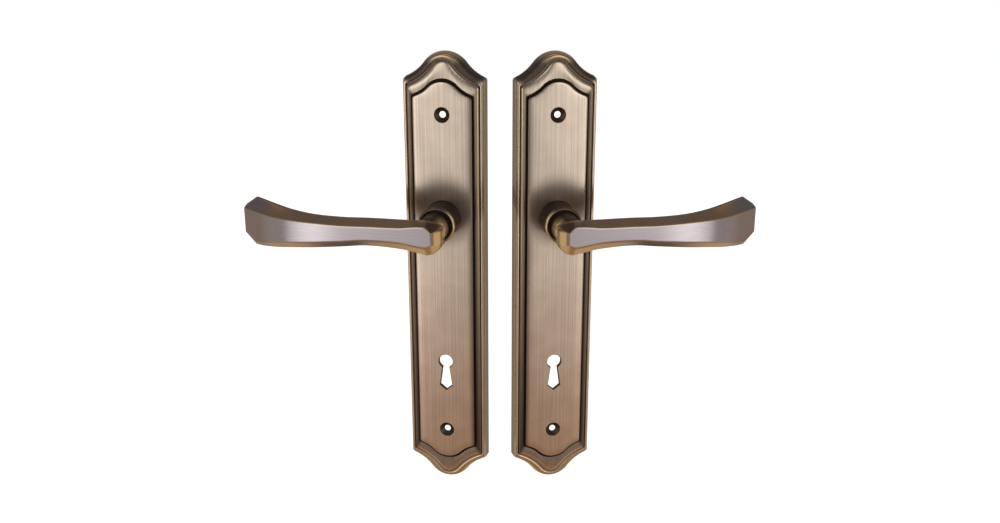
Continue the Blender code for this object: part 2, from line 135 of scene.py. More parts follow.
# Sections of the elbow and grip: distance towards the tip, then for the front facet how far out
# it is and its upper and lower edges, then the upper ridge (out, up), the lower ridge (out, up)
# and the back.
ELBOW = (
    (-7.4, 42.6, 2.6, -4.0, 41.2, 4.2, 42.0, -5.6, 38.2),
    (-6.4, 45.2, 3.0, -4.4, 42.2, 5.2, 44.0, -7.2, 37.6),
    (-4.9, 47.8, 3.2, -4.5, 43.0, 6.0, 45.4, -8.6, 37.2),
    (-4.1, 48.8, 3.1, -4.4, 43.1, 6.4, 45.9, -9.0, 37.1),
    (-3.1, 50.0, 2.8, -4.3, 43.3, 6.8, 46.5, -9.6, 37.0),
)
GRIP = (
    (-0.4, 50.0, 6.0, -5.5, 43.0, 7.2, 47.0, -10.1, 37.0),
    (5.8, 50.0, 5.8, -4.8, 43.0, 7.3, 47.0, -8.9, 38.0),
    (14.0, 50.0, 4.8, -3.5, 43.0, 7.2, 47.0, -7.5, 38.5),
    (32.0, 50.0, 4.5, -3.3, 43.0, 7.2, 47.0, -6.7, 38.5),
    (46.0, 49.9, 4.2, -4.7, 43.0, 6.9, 47.0, -8.1, 38.5),
    (62.0, 49.4, 4.7, -6.2, 42.2, 7.3, 46.2, -9.8, 38.0),
    (75.0, 48.0, 5.2, -7.5, 40.6, 8.8, 44.4, -11.1, 36.6),
    (85.0, 45.9, 5.7, -8.9, 39.0, 11.0, 42.6, -12.0, 34.8),
    (93.0, 43.7, 6.6, -10.3, 37.7, 13.1, 41.1, -12.1, 33.2),
)
TIP = (
    (96.4, 42.7, 7.3, -9.8, 37.2, 13.9, 40.5, -11.6, 32.7),
    (102.0, 41.2, 8.7, -4.8, 36.9, 10.0, 39.6, -5.6, 32.2),
)
EDGE_ROUND = 0.8
SECTION_GAP = 1.6
# The neck and tail, turned about the spindle axis: radius, distance out, tone. The tones paint a
# highlight ring round the shoulder, shade below it, and patina and shade down by the collar.
NECK = (
    (0.6, 48.2, CLEAN),
    (3.0, 47.7, CLEAN),
    (5.2, 46.3, CLEAN),
    (6.4, 44.5, CLEAN),
    (7.1, 42.4, CLEAN),
    (7.5, 40.2, CLEAN),
    (7.8, 38.2, CLEAN),
    (7.9, 37.2, SOFT_WEAR_AND_HIGHLIGHT),
    (7.9, 36.2, CLEAN),
    (7.8, 34.8, SHADED),
    (7.65, 32.8, SHADED),
    (7.6, 29.0, RECESS),
    (7.85, 27.4, RECESS),
    (7.9, 26.4, RECESS),
    (6.9, 26.4, CLEAN),
    (6.9, 1.5, CLEAN),
    (6.1, 1.5, CLEAN),
    (6.1, 0.35, CLEAN),
    (6.7, 0.35, CLEAN),
    (6.7, 0.1, CLEAN),
)
# Flats on the tail, the square socket for the spindle, and the hole of the grub screw.
TAIL_FLAT = 6.4
FLATS_OUT = 3.7
SOCKET_HALF = 4.15
SOCKET_OUT = 37.5
GRUB_OUT = 31.0
GRUB_RADIUS = 2.5
GRUB_ENDS = (-12.0, -4.6)
# The collar, closed round its own section: radius, distance out, tone. The rim's gold is a painted highlight.
COLLAR = (
    (8.6, 26.0, RECESS),
    (9.0, 26.0, SHADED),
    (9.45, 25.95, WEAR_AND_HIGHLIGHT),
    (9.8, 25.7, WEAR_AND_HIGHLIGHT),
    (10.0, 25.2, WEAR_AND_HIGHLIGHT),
    (10.0, 24.4, CLEAN),
    (9.9, 23.4, SHADED),
    (9.7, 22.8, RECESS),
    (9.4, 22.5, RECESS),
    (8.45, 22.5, RECESS),
    (8.45, 25.8, RECESS),
)

# The studio, in degrees aside from the camera and in degrees of elevation. The softboxes lean
# inwards with height, by BOX_LEAN for each degree.
BOX_SIDES = (21.5, 30.5, 43.0, 56.0)
BOX_HEIGHTS = (-33.0, -15.0, 30.0, 50.0)
BOX_LEAN = 0.20
BOX_LEAN_FROM = -14.0
WALL_SIDES = (54.0, 84.0, 150.0, 170.0)

# The camera looks down by some degrees. Its distance and target and the floor are in metres.
CAMERA_DOWN = 18.0
CAMERA_DISTANCE = 0.600
CAMERA_TARGET = (0.0, 0.0, -0.0282)
CAMERA_LENS = 38.3
FLOOR_UP = -0.35


def unit_frame(joint_name, side):
    """The unit's place in the row frame, from the joint that turns its lever."""
    joint = next(j for j in frame["joints"] if j["name"] == joint_name)
    out = (Vector(joint["axis"]) * -side).normalized()
    up = Vector((0.0, 0.0, 1.0))
    across = up.cross(out)
    turn = Matrix((across, up, out)).transposed().to_4x4()
    return Matrix.Translation(Vector(joint["pos_m"])) @ turn


UNITS = {side: unit_frame(HAND[side] + "_lever_turn", side) for side in (LEFT, RIGHT)}


# ---------------------------------------------------------------- mesh helpers


def mesh_object(name, form, side, materials, smooth_angle=32.0):
    """An object standing in its unit's frame, from a bmesh in millimetres."""
    bmesh.ops.recalc_face_normals(form, faces=form.faces[:])
    form.transform(Matrix.Scale(MM, 4))
    mesh = bpy.data.meshes.new(name)
    form.to_mesh(mesh)
    form.free()
    for material in materials:
        mesh.materials.append(material)
    mesh.shade_smooth()
    mesh.set_sharp_from_angle(angle=math.radians(smooth_angle))
    thing = bpy.data.objects.new(name, mesh)
    bpy.context.scene.collection.objects.link(thing)
    thing.matrix_world = UNITS[side]
    return thing


def tone_layer(form):
    layers = form.loops.layers.float_color
    return layers.get("tone") or layers.new("tone")


def skin(form, rings, tones, material=0):
    """Faces between closed rings of points, with a tone for each point."""
    paint = tone_layer(form)
    rows = [[form.verts.new(point) for point in ring] for ring in rings]
    count = len(rows[0])
    for level in range(len(rows) - 1):
        for index in range(count):
            after = (index + 1) % count
            corners = ((level, index), (level, after), (level + 1, after), (level + 1, index))
            face = form.faces.new([rows[row][spot] for row, spot in corners])
            face.material_index = material
            for loop, (row, spot) in zip(face.loops, corners):
                loop[paint] = (*tones[row][spot], 1.0)
    return rows


def cap(form, row, tone, material=0):
    """One face over a ring of vertices."""
    paint = tone_layer(form)
    face = form.faces.new(row)
    face.material_index = material
    for loop in face.loops:
        loop[paint] = (*tone, 1.0)


def mixed(first, second, share):
    return tuple(a + (b - a) * share for a, b in zip(first, second))


def smooth_step(value, low, high):
    part = min(1.0, max(0.0, (value - low) / (high - low)))
    return part * part * (3.0 - 2.0 * part)


def turned(form, profile, steps=64, material=0, looped=False, middle=(0.0, 0.0), paint=None):
    """A turned skin from (radius, out, tone) points. A looped profile closes on itself.

    paint, if given, changes a tone by the angle round the axis.
    """
    angles = [2.0 * math.pi * step / steps for step in range(steps)]
    rings = [
        [(middle[0] + r * math.cos(a), middle[1] + r * math.sin(a), out) for a in angles]
        for r, out, tone in profile
    ]
    tones = [[paint(tone, a) if paint else tone for a in angles] for r, out, tone in profile]
    if looped:
        rings.append(rings[0])
        tones.append(tones[0])
    rows = skin(form, rings, tones, material)
    if looped:
        bmesh.ops.remove_doubles(form, verts=rows[0] + rows[-1], dist=0.0001)
    else:
        cap(form, rows[0], profile[0][2], material)
        cap(form, rows[-1], profile[-1][2], material)


def prism(form, outline, low, high, material=0):
    """A straight block through an outline of (across, up) points."""
    rings = [[(x, y, out) for x, y in outline] for out in (low, high)]
    rows = skin(form, rings, [[CLEAN] * len(outline)] * 2, material)
    cap(form, rows[0], CLEAN, material)
    cap(form, rows[1], CLEAN, material)


def combine(target, form, side, operation, materials):
    """Changes the target's mesh by a Boolean with a bmesh, which is used up."""
    cutter = mesh_object("cutter", form, side, materials)
    step = target.modifiers.new("step", "BOOLEAN")
    step.operation = operation
    step.solver = "EXACT"
    step.object = cutter
    graph = bpy.context.evaluated_depsgraph_get()
    mesh = bpy.data.meshes.new_from_object(target.evaluated_get(graph))
    target.modifiers.clear()
    target.data = mesh
    bpy.data.objects.remove(cutter)
    mesh.set_sharp_from_angle(angle=math.radians(32.0))


def ring_points(radius, steps, middle=(0.0, 0.0), start=0.0, sweep=360.0):
    """Points round a circle, or along an arc that ends short of its sweep by one step."""
    turns = [math.radians(start + sweep * step / steps) for step in range(steps)]
    return [(middle[0] + radius * math.cos(t), middle[1] + radius * math.sin(t)) for t in turns]


# ---------------------------------------------------------------- outlines


def guide_at(inset):
    """Shoulder, peak and slopes of the outline at an inset from the plate's outer edge."""
    for before, after in zip(GUIDES, GUIDES[1:]):
        if inset <= after[0]:
            part = (inset - before[0]) / (after[0] - before[0])
            return [a + (b - a) * part for a, b in zip(before[1:], after[1:])]
    return list(GUIDES[-1][1:])


def ogee_half(half_width, shoulder, peak, corner_slope, meeting_slope):
    """From the straight side round the shoulder, up the hollow flank and over the crown."""
    corner, meeting = math.radians(corner_slope), math.radians(meeting_slope)
    rise = (peak - shoulder) / half_width
    flank_rise = math.tan((meeting + corner) / 2.0)
    share = (rise - flank_rise) / (math.tan(meeting / 2.0) - flank_rise)
    crown_radius = share * half_width / math.sin(meeting)
    flank_radius = (1.0 - share) * half_width / (math.sin(meeting) - math.sin(corner))
    bend = math.pi / 2.0 - corner
    points = []
    for step in range(5):
        turn = bend * step / 5
        across = half_width - CORNER_ROUND * (1.0 - math.cos(turn))
        points.append((across, shoulder + CORNER_ROUND * (math.sin(turn) - math.tan(bend / 2.0))))
    start = CORNER_ROUND / flank_radius
    for step in range(12):
        slope = corner + start + (meeting - corner - start) * step / 12
        across = half_width - flank_radius * (math.sin(slope) - math.sin(corner))
        points.append((across, shoulder + flank_radius * (math.cos(corner) - math.cos(slope))))
    for step in range(12):
        slope = meeting * (1.0 - step / 12)
        lift = crown_radius * (1.0 - math.cos(slope))
        points.append((crown_radius * math.sin(slope), peak - lift))
    return points


def plate_ring(inset, out):
    """The whole outline at one inset, anticlockwise as seen from the front."""
    half = ogee_half(HALF_WIDTH - inset, *guide_at(inset))
    top = half + [(0.0, guide_at(inset)[1])] + [(-x, y) for x, y in reversed(half)]
    outline = top + [(-x, -y) for x, y in top]
    return [(x, y + PLATE_MIDDLE, out) for x, y in outline]


def highlight_share(toward_grip, upper):
    """How much of the painted gold highlight a quarter of the plate keeps: most at the top, away from the grip."""
    if toward_grip:
        return 0.45 if upper else 0.15
    return 0.8 if upper else 0.05


def ring_tones(inset, tone, ring, side):
    """The tone round one ring, which changes from the straight sides to the two ends.

    At the ends the bead gets painted shade on the upper flanks and a painted highlight elsewhere.
    The band is clean at the upper end, and gets painted shade towards the panel at the lower one.
    Along the straight side away from the grip, the panel's edge gets painted shade. The painted gold
    highlights on the bead and band fade towards the lower end, and the band gets painted shade where
    they fade.
    """
    tones = []
    half = len(ring) // 2
    for index, (across, up, out) in enumerate(ring):
        upper = index < half
        place = min(index % half, half - 1 - index % half)
        end = smooth_step(place, 2, 6)
        flank = end * (1.0 - smooth_step(place, 16, 25))
        patina_and_shade_share, wear_and_highlight_share, grey = tone
        toward_grip = across * side > 0.0
        kept_highlight = highlight_share(toward_grip, upper)
        if inset < BEAD_INSET:
            foot = 0.6 * end if upper and inset > 1.6 else 0.0
            patina_and_shade_share = max(patina_and_shade_share * (1.0 - end), 0.85 * flank if upper else 0.1 * end, foot)
            wear_and_highlight_share = wear_and_highlight_share * kept_highlight * (1.0 - end) + 0.7 * (end - flank if upper else end)
            grey *= 1.0 - 0.7 * end
        elif inset < GROOVE_INSET:
            patina_and_shade_share *= 1.0 - (0.3 if upper else 0.45) * end
        elif inset < BAND_INSET:
            patina_and_shade_share += (1.0 - patina_and_shade_share) * 0.9 * (1.0 - kept_highlight)
            at_end = 0.15 * tone[0] if upper else 0.6 * smooth_step(inset, GROOVE_INSET, 5.2)
            patina_and_shade_share += (at_end - patina_and_shade_share) * end
            wear_and_highlight_share *= kept_highlight * (1.0 - 0.9 * end)
        elif not toward_grip:
            patina_and_shade_share = max(patina_and_shade_share, 0.6 * (1.0 - end) * (1.0 - smooth_step(inset, 6.6, 8.6)))
        tones.append((patina_and_shade_share, wear_and_highlight_share, grey))
    return tones


def keyhole_ring(grow):
    """A round top over a slot that widens downwards and ends in a point, grown all round."""
    radius, neck, flare = KEYHOLE_RADIUS + grow, KEYHOLE_NECK + grow, KEYHOLE_FLARE + grow
    flare_down = KEYHOLE_FLARE_DOWN + 0.4 * grow
    tip_down = KEYHOLE_TIP_DOWN + 1.2 * grow
    neck_angle = math.degrees(math.asin(neck / radius))
    round_part = ring_points(radius, 32, start=neck_angle - 90.0, sweep=360.0 - 2.0 * neck_angle)
    last = [(-neck, -math.sqrt(radius * radius - neck * neck))]
    slot = [(-flare, -flare_down), (0.0, -tip_down), (flare, -flare_down)]
    return [(x, y + PLATE_MIDDLE + KEYHOLE_UP) for x, y in round_part + last + slot]


# ---------------------------------------------------------------- materials


class Tree:
    """Short calls for building a node tree."""

    def __init__(self, owner):
        owner.use_nodes = True
        self.nodes = owner.node_tree.nodes
        self.links = owner.node_tree.links

    def put(self, socket, value):
        if hasattr(value, "is_linked"):
            self.links.new(value, socket)
        else:
            socket.default_value = value

    def math(self, operation, first, second=0.0, clamp=False):
        node = self.nodes.new("ShaderNodeMath")
        node.operation = operation
        node.use_clamp = clamp
        self.put(node.inputs[0], first)
        self.put(node.inputs[1], second)
        return node.outputs[0]

    def ramp(self, value, low, high, to_low=0.0, to_high=1.0):
        """A smooth step from one value to another."""
        node = self.nodes.new("ShaderNodeMapRange")
        node.interpolation_type = "SMOOTHSTEP"
        for name, number in (("From Min", low), ("From Max", high)):
            node.inputs[name].default_value = number
        self.put(node.inputs["To Min"], to_low)
        self.put(node.inputs["To Max"], to_high)
        self.put(node.inputs["Value"], value)
        return node.outputs[0]

    def window(self, value, rise, top, fall, end):
        """1 between top and fall, and smoothly 0 outside rise and end."""
        return self.math("MULTIPLY", self.ramp(value, rise, top), self.ramp(value, fall, end, 1.0, 0.0))

    def colour(self, part, first, second, blend="MIX"):
        node = self.nodes.new("ShaderNodeMix")
        node.data_type = "RGBA"
        node.blend_type = blend
        self.put(node.inputs[0], part)
        self.put(node.inputs[6], first)
        self.put(node.inputs[7], second)
        return node.outputs[2]

    def split(self, vector):
        node = self.nodes.new("ShaderNodeSeparateXYZ")
        self.put(node.inputs[0], vector)
        return node.outputs

    def stretched(self, stretch, scale, detail=2.0):
        """Noise in the piece's own frame, stretched along its axes."""
        place = self.nodes.new("ShaderNodeTexCoord").outputs["Object"]
        mapping = self.nodes.new("ShaderNodeMapping")
        mapping.inputs["Scale"].default_value = stretch
        self.put(mapping.inputs["Vector"], place)
        noise = self.nodes.new("ShaderNodeTexNoise")
        noise.inputs["Scale"].default_value = scale
        noise.inputs["Detail"].default_value = detail
        self.put(noise.inputs["Vector"], mapping.outputs[0])
        return noise.outputs["Fac"]


def rgb(red, green, blue):
    return (red, green, blue, 1.0)


def antique_bronze(name, brush_axis, brush, clean, facet, roughness, anisotropy, spindle_shade_strength=0.0):
    """Bronze plating with fine brush lines, darkened where its tone paints patina and shade, and gold
    where it paints wear and highlights.

    The spindle shade strength sets the painted shade round the spindle.
    """
    material = bpy.data.materials.new(name)
    tree = Tree(material)
    shader = tree.nodes["Principled BSDF"]
    tone = tree.nodes.new("ShaderNodeAttribute")
    tone.attribute_name = "tone"
    patina_and_shade_share, wear_and_highlight_share, grey = tree.split(tone.outputs["Vector"])
    # Painted shade round the spindle joins the patina share.
    away = tree.nodes.new("ShaderNodeVectorMath")
    away.operation = "DISTANCE"
    tree.put(away.inputs[0], tree.nodes.new("ShaderNodeTexCoord").outputs["Object"])
    tree.put(away.inputs[1], SPINDLE_SHADE_MIDDLE)
    near = tree.ramp(away.outputs["Value"], *SPINDLE_SHADE_RADII, 0.0, spindle_shade_strength)
    patina_and_shade_share = tree.math("MAXIMUM", patina_and_shade_share, near)
    streaks = tree.stretched([0.8 if axis == brush_axis else 170.0 for axis in "XYZ"], 8.0, 3.0)
    fine = tree.stretched([2.0 if axis == brush_axis else 600.0 for axis in "XYZ"], 6.0, 2.0)
    clouds = tree.stretched((1.0, 1.0, 1.0), 60.0, 3.0)
    base = tree.colour(tree.ramp(clouds, 0.3, 0.7), clean, [c * 0.88 for c in clean[:3]] + [1.0])
    base = tree.colour(grey, base, facet)
    line = tree.math("ADD", tree.math("MULTIPLY", streaks, 0.6), tree.math("MULTIPLY", fine, 0.4))
    shade = tree.ramp(line, 0.36, 0.64, 1.0 - brush, 1.0)
    scaled = tree.nodes.new("ShaderNodeVectorMath")
    scaled.operation = "SCALE"
    tree.put(scaled.inputs[0], base)
    tree.put(scaled.inputs["Scale"], shade)
    # Gold for wear and painted highlights; near black for patina and painted shade.
    base = tree.colour(wear_and_highlight_share, scaled.outputs[0], rgb(0.86, 0.66, 0.38))
    base = tree.colour(patina_and_shade_share, base, rgb(0.035, 0.022, 0.014))
    tree.put(shader.inputs["Base Color"], base)
    tree.put(shader.inputs["Roughness"], tree.ramp(patina_and_shade_share, 0.0, 1.0, roughness, 0.5))
    shader.inputs["Metallic"].default_value = 1.0
    shader.inputs["Anisotropic"].default_value = anisotropy
    tangent = tree.nodes.new("ShaderNodeTangent")
    tangent.direction_type = "RADIAL"
    tangent.axis = brush_axis
    tree.put(shader.inputs["Tangent"], tangent.outputs[0])
    bump = tree.nodes.new("ShaderNodeBump")
    bump.inputs["Strength"].default_value = 0.25
    bump.inputs["Distance"].default_value = 0.00002
    tree.put(bump.inputs["Height"], line)
    tree.put(shader.inputs["Normal"], bump.outputs[0])
    return material


def plain_metal(name, colour, roughness):
    material = bpy.data.materials.new(name)
    tree = Tree(material)
    shader = tree.nodes["Principled BSDF"]
    mottle = tree.stretched((1.0, 1.0, 1.0), 400.0, 3.0)
    darker = [c * 0.75 for c in colour[:3]] + [1.0]
    tree.put(shader.inputs["Base Color"], tree.colour(tree.ramp(mottle, 0.3, 0.7), colour, darker))
    tree.put(shader.inputs["Roughness"], tree.ramp(mottle, 0.3, 0.7, roughness, roughness + 0.12))
    shader.inputs["Metallic"].default_value = 1.0
    return material


def moulded_nylon(name):
    material = bpy.data.materials.new(name)
    tree = Tree(material)
    shader = tree.nodes["Principled BSDF"]
    grain = tree.stretched((1.0, 1.0, 1.0), 900.0, 2.0)
    tree.put(
        shader.inputs["Base Color"],
        tree.colour(grain, rgb(0.030, 0.027, 0.024), rgb(0.022, 0.020, 0.018)),
    )
    shader.inputs["Roughness"].default_value = 0.45
    return material


CREAM_BRONZE = rgb(0.84, 0.71, 0.61)
DEEP_BRONZE = rgb(0.66, 0.50, 0.38)
# The plate's bronze gets painted shade round the spindle.
BRUSHED = antique_bronze(
    "brushed_bronze", "Y", 0.18, CREAM_BRONZE, rgb(0.22, 0.205, 0.19), 0.24, 0.6, spindle_shade_strength=0.58
)
POLISHED = antique_bronze("polished_bronze", "X", 0.08, DEEP_BRONZE, rgb(0.63, 0.59, 0.66), 0.22, 0.0)
TURNED = antique_bronze("turned_bronze", "Z", 0.06, DEEP_BRONZE, rgb(0.50, 0.45, 0.42), 0.18, 0.0)
DARK = plain_metal("dark_patina", rgb(0.10, 0.075, 0.055), 0.40)
CAST = plain_metal("cast_back", rgb(0.42, 0.38, 0.33), 0.45)
ZINC = plain_metal("zinc_plate", rgb(0.62, 0.63, 0.65), 0.28)
NYLON = moulded_nylon("nylon")


# ---------------------------------------------------------------- the plate


def make_plate(side):
    """Moulded shell with its pocket, boss, posts, fixing holes and keyhole."""
    form = bmesh.new()
    rings = [plate_ring(inset, out) for inset, out, tone in MOULDING]
    count = len(rings[0])
    tones = [
        ring_tones(inset, tone, ring, side) for (inset, out, tone), ring in zip(MOULDING, rings)
    ]
    outside = skin(form, rings, tones)
    cap(form, outside[-1], CLEAN)
    inner = [plate_ring(inset, out) for inset, out in POCKET]
    inside = skin(form, inner, [[CLEAN] * count] * len(inner), material=2)
    cap(form, inside[-1], CLEAN, material=2)
    for index in range(count):
        after = (index + 1) % count
        rim = (outside[0][after], outside[0][index], inside[0][index], inside[0][after])
        form.faces.new(rim).material_index = 2
    looks = (BRUSHED, DARK, CAST)
    plate = mesh_object(HAND[side] + "_plate", form, side, looks)
    add_boss(plate, side, looks)
    cut_holes(plate, side, looks)
    return plate


def boss_shade_paint(tone, angle, side):
    """Painted shade covers the boss, and is thin only below, on the side away from the grip."""
    lit_part = smooth_step(math.cos(angle + math.radians(90.0 + side * 30.0)), 0.55, 1.0)
    return (tone[0] * (1.0 - 0.8 * lit_part), tone[1], tone[2])


def add_boss(plate, side, looks):
    boss = bmesh.new()
    # The boss's tone is painted shade, thinner only below on the side away from the grip.
    profile = (
        (BOSS_RADIUS - 0.9, BOSS_OUT, PAINTED_SHADE),
        (BOSS_RADIUS - 0.35, BOSS_OUT - 0.1, PAINTED_SHADE),
        (BOSS_RADIUS, BOSS_OUT - 0.5, PAINTED_SHADE),
        (BOSS_RADIUS, PANEL_OUT + 0.9, PAINTED_SHADE),
        (BOSS_RADIUS + 0.1, PANEL_OUT + 0.4, PAINTED_SHADE),
        (BOSS_RADIUS + 0.35, PANEL_OUT + 0.05, PAINTED_SHADE),
        (BOSS_RADIUS + 0.35, PANEL_BACK + 0.8, PAINTED_SHADE),
    )
    turned(boss, profile, paint=lambda tone, angle: boss_shade_paint(tone, angle, side))
    combine(plate, boss, side, "UNION", looks)
    posts = bmesh.new()
    for up in (POST_UP, -POST_UP):
        post = ((POST_RADIUS, 8.2, CLEAN), (POST_RADIUS, 2.2, CLEAN))
        turned(posts, post, 32, 2, middle=(0.0, up))
    combine(plate, posts, side, "UNION", looks)


def cut_holes(plate, side, looks):
    cutters = bmesh.new()
    turned(cutters, ((BOSS_BORE, 30.0, CLEAN), (BOSS_BORE, 5.0, CLEAN)), 64, 1)
    for up in (POST_UP, -POST_UP):
        bore = ((POST_BORE, 6.9, CLEAN), (POST_BORE, 1.0, CLEAN))
        turned(cutters, bore, 24, 1, middle=(0.0, up))
    for up in FIXING_HOLES:
        cone = (
            (COUNTERSINK_RADIUS + 0.3, PANEL_OUT + 1.0, CLEAN),
            (COUNTERSINK_RADIUS + 0.3, PANEL_OUT + 0.1, CLEAN),
            (FIXING_RADIUS, PANEL_OUT - 1.9, CLEAN),
            (FIXING_RADIUS, PANEL_BACK - 1.0, CLEAN),
        )
        turned(cutters, cone, 48, 1, middle=(0.0, PLATE_MIDDLE + up))
    keyhole = [
        [(x, y, out) for x, y in keyhole_ring(grow)]
        for grow, out in ((0.0, 6.0), (0.0, 9.9), (0.35, PANEL_OUT), (1.0, PANEL_OUT + 0.6))
    ]
    rows = skin(cutters, keyhole, [[CLEAN] * len(keyhole[0])] * 4, 1)
    cap(cutters, rows[0], CLEAN, 1)
    cap(cutters, rows[-1], CLEAN, 1)
    combine(plate, cutters, side, "DIFFERENCE", looks)


# ---------------------------------------------------------------- the lever


def smooth_between(rows, per_gap):
    """Sections between the given ones, on cubic curves through each column."""
    places = [row[0] for row in rows]
    slopes = []
    for index in range(len(rows)):
        low, high = max(0, index - 1), min(len(rows) - 1, index + 1)
        span = places[high] - places[low]
        slopes.append([(b - a) / span for a, b in zip(rows[low], rows[high])])
    found = []
    for index in range(len(rows) - 1):
        gap = places[index + 1] - places[index]
        steps = max(1, round(gap / per_gap))
        for step in range(steps):
            t = step / steps
            weights = (
                2.0 * t**3 - 3.0 * t**2 + 1.0,
                (t**3 - 2.0 * t**2 + t) * gap,
                -2.0 * t**3 + 3.0 * t**2,
                (t**3 - t**2) * gap,
            )
            columns = zip(rows[index], slopes[index], rows[index + 1], slopes[index + 1])
            found.append([sum(w * v for w, v in zip(weights, column)) for column in columns])
    return found + [list(rows[-1])]


def grip_corners(row):
    """The eight corners of a section as (up, out)."""
    along, front, front_up, front_down, ridge, ridge_up, keel, keel_down, back = row
    return (
        (front_down, front),
        (front_up, front),
        (ridge_up, ridge),
        (ridge_up - 0.3, ridge - 2.5),
        (ridge_up - 3.0, back),
        (keel_down + 3.0, back),
        (keel_down, keel - 5.0),
        (keel_down, keel),
    )


def grip_tones(along):
    """The tone after each corner of a section, with painted shade and highlights, and how much
    wear and painted highlight each corner's edge gets.

    The distance towards the tip is below zero on the elbow and zero at the spindle.
    """
    chamfer = smooth_step(-along, 3.0, 3.4)
    turn = smooth_step(-along, 3.6, 4.8)
    elbow_end = smooth_step(-along, 6.0, 7.4)
    hub = smooth_step(-along, -34.0, -10.0)
    middle = smooth_step(along, 22.0, 40.0) * (1.0 - smooth_step(along, 48.0, 76.0))
    tip = smooth_step(along, 84.0, 94.0)

    # Front facet: grey, painted shade on the chamfer, a painted gold highlight round the elbow's end, painted
    # shade over the half nearer the spindle, and painted shade near the tip.
    front = mixed(mixed(GREY, (0.72, 0.0, 0.6), chamfer), WEAR_AND_HIGHLIGHT, turn)
    front_shade_share = 0.26 * (1.0 - smooth_step(along, 42.0, 62.0))
    front = (max(front[0], front_shade_share * (1.0 - turn)), front[1], front[2])
    front = mixed(front, (0.3, 0.0, 0.6), tip)

    # Upper facet: painted shade near the hub, a painted highlight on the elbow's end, and painted shade near the
    # tip.
    upper = (0.75 * smooth_step(-along, -12.0, 2.0), 0.0, 0.0)
    upper = mixed(upper, SOFT_WEAR_AND_HIGHLIGHT, elbow_end)
    upper = mixed(upper, (0.2, 0.0, 0.9), tip)

    # Under facet: a painted highlight near the hub, painted shade along the middle, and painted shade near the
    # tip.
    under = mixed(CLEAN, SOFT_WEAR_AND_HIGHLIGHT, smooth_step(-along, -24.0, -2.0))
    under = mixed(under, (0.7, 0.0, 0.8), middle)
    under = mixed(under, (0.35, 0.0, 0.6), tip)

    facets = (front, upper, SHADED, SHADED, SHADED, SHADED, SHADED, under)
    # Corner edges get wear and a painted highlight, most on the front's lower edge near the hub.
    edge_wear_and_highlight = [0.2 + 0.6 * hub, 0.6 * (1.0 - chamfer)] + [0.25] * 6
    return facets, edge_wear_and_highlight


def eased_corners(corners, facets, edge_wear_and_highlight):
    """The section with each corner eased by a small round, as points with their tones."""
    points, tones = [], []
    count = len(corners)
    for index in range(count):
        here = Vector(corners[index])
        before = Vector(corners[index - 1]) - here
        after = Vector(corners[(index + 1) % count]) - here
        ease = min(EDGE_ROUND, 0.25 * before.length, 0.25 * after.length)
        before.normalize()
        after.normalize()
        start, end = here + before * ease, here + after * ease
        coming, going = facets[index - 1], facets[index]
        points.append(start + before * 0.5 * ease)
        tones.append(coming)
        for part in (0.0, 0.25, 0.5, 0.75, 1.0):
            points.append(start * (1 - part) ** 2 + here * 2 * part * (1 - part) + end * part**2)
            between = mixed(coming, going, part)
            edge = edge_wear_and_highlight[index] * (1.0 - abs(2.0 * part - 1.0))
            # Each corner's edge gets wear and a painted highlight.
            tones.append(mixed(between, WEAR_AND_HIGHLIGHT, edge))
        points.append(end + after * 0.5 * ease)
        tones.append(going)
    return points, tones


def collar_light_paint(tone, angle, side):
    """The collar keeps its tones, with the rim's painted highlight, only on the side away from the grip; elsewhere
    it gets painted shade.
    """
    away = smooth_step(-side * math.cos(angle), 0.35, 0.9)
    return mixed((0.75, 0.0, 0.5), tone, away)


def neck_light_paint(tone, angle, side):
    """The neck gets painted shade on top, and a painted gold highlight on the side away from the grip."""
    above = smooth_step(math.sin(angle), 0.05, 0.6)
    away = smooth_step(-side * math.cos(angle), 0.25, 0.9)
    shaded = mixed(tone, PAINTED_SHADE, above * (1.0 - 0.5 * away))
    return mixed(shaded, WEAR_AND_HIGHLIGHT, away * (1.0 - tone[0]))


def make_lever(side):
    """Grip and elbow lofted through eased sections, joined to the turned neck and tail."""
    form = bmesh.new()
    rows = list(ELBOW) + smooth_between(GRIP, SECTION_GAP) + list(TIP)
    rings, tones = [], []
    for row in rows:
        points, shades = eased_corners(grip_corners(row), *grip_tones(row[0]))
        rings.append([(side * row[0], up, out) for up, out in points])
        tones.append(shades)
    loft = skin(form, rings, tones)
    cap(form, loft[0], CLEAN)
    cap(form, loft[-1], CLEAN)
    looks = (POLISHED, DARK)
    lever = mesh_object(HAND[side] + "_lever_handle", form, side, looks, 20.0)
    neck = bmesh.new()
    turned(neck, NECK, paint=lambda tone, angle: neck_light_paint(tone, angle, side))
    combine(lever, neck, side, "UNION", looks)
    cutters = bmesh.new()
    half = SOCKET_HALF
    socket = ((half, -half), (half, half), (-half, half), (-half, -half))
    prism(cutters, socket, -1.0, SOCKET_OUT, 1)
    for near, far in ((-10.0, -TAIL_FLAT), (TAIL_FLAT, 10.0)):
        flat = ((near, -10.0), (far, -10.0), (far, 10.0), (near, 10.0))
        prism(cutters, flat, -1.0, FLATS_OUT, 0)
    combine(lever, cutters, side, "DIFFERENCE", looks)
    hole = bmesh.new()
    circle = ring_points(GRUB_RADIUS, 32)
    rings = [[(x, up, GRUB_OUT + z) for x, z in circle] for up in GRUB_ENDS]
    ends = skin(hole, rings, [[CLEAN] * 32] * 2, 1)
    cap(hole, ends[0], CLEAN, 1)
    cap(hole, ends[1], CLEAN, 1)
    combine(lever, hole, side, "DIFFERENCE", looks)
    return lever


def make_collar(side):
    """The turned ring in the mouth of the boss, with a painted highlight on its rim."""
    form = bmesh.new()
    turned(form, COLLAR, 96, looped=True, paint=lambda tone, angle: collar_light_paint(tone, angle, side))
    return mesh_object(HAND[side] + "_collar_ring", form, side, (TURNED,), 50.0)


# ---------------------------------------------------------------- stage


